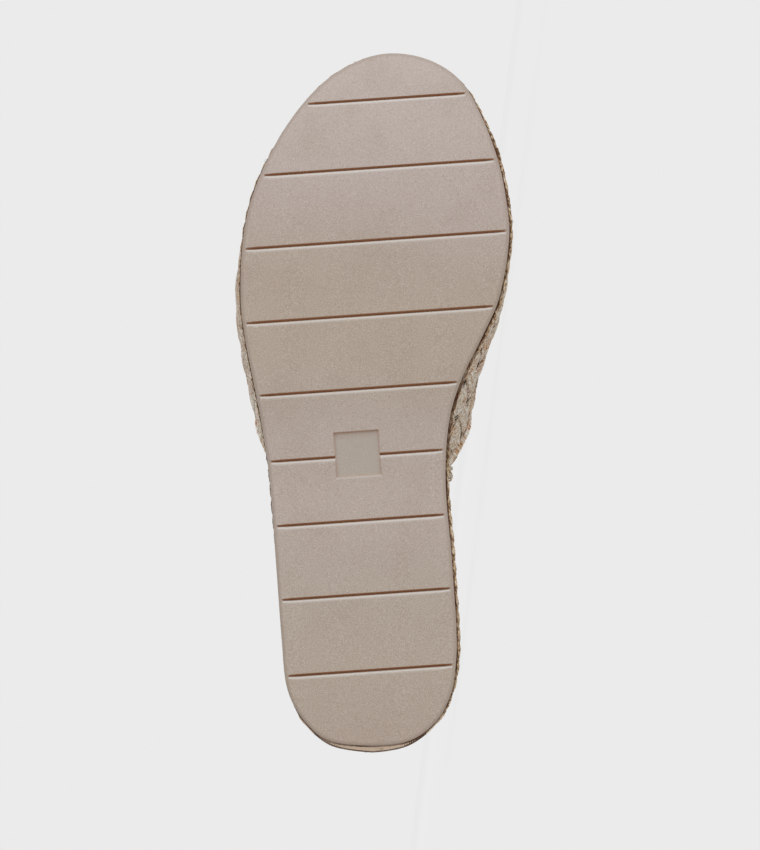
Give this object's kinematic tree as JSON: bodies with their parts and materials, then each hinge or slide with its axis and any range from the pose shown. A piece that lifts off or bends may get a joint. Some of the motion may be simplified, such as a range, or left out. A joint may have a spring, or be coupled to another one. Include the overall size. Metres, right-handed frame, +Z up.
{
  "type": "womens slip-on wedge shoe",
  "caption": "Right slip-on wedge shoe with a hollow plaited straw upper, a rope-wound wedge, an insole and a grooved rubber outsole, lying on its inner side.",
  "frame": {"origin": "middle of the bounding box at its lowest level, which is the floor that the shoe lies on", "axes": "+Z up from the floor, +X roughly from heel to toe, -Y the way the tread looks; the inner side of the foot is down"},
  "size_m": [0.256, 0.0862, 0.102],
  "materials": {
    "outsole_rubber": "matte",
    "wedge_rope": "matte",
    "insole_leather": "matte",
    "upper_straw": "matte"
  },
  "bodies": {
    "root": {"outsole": "outsole_rubber", "rope_wedge": "wedge_rope", "insole": "insole_leather", "upper": "upper_straw"}
  },
  "joints": []
}
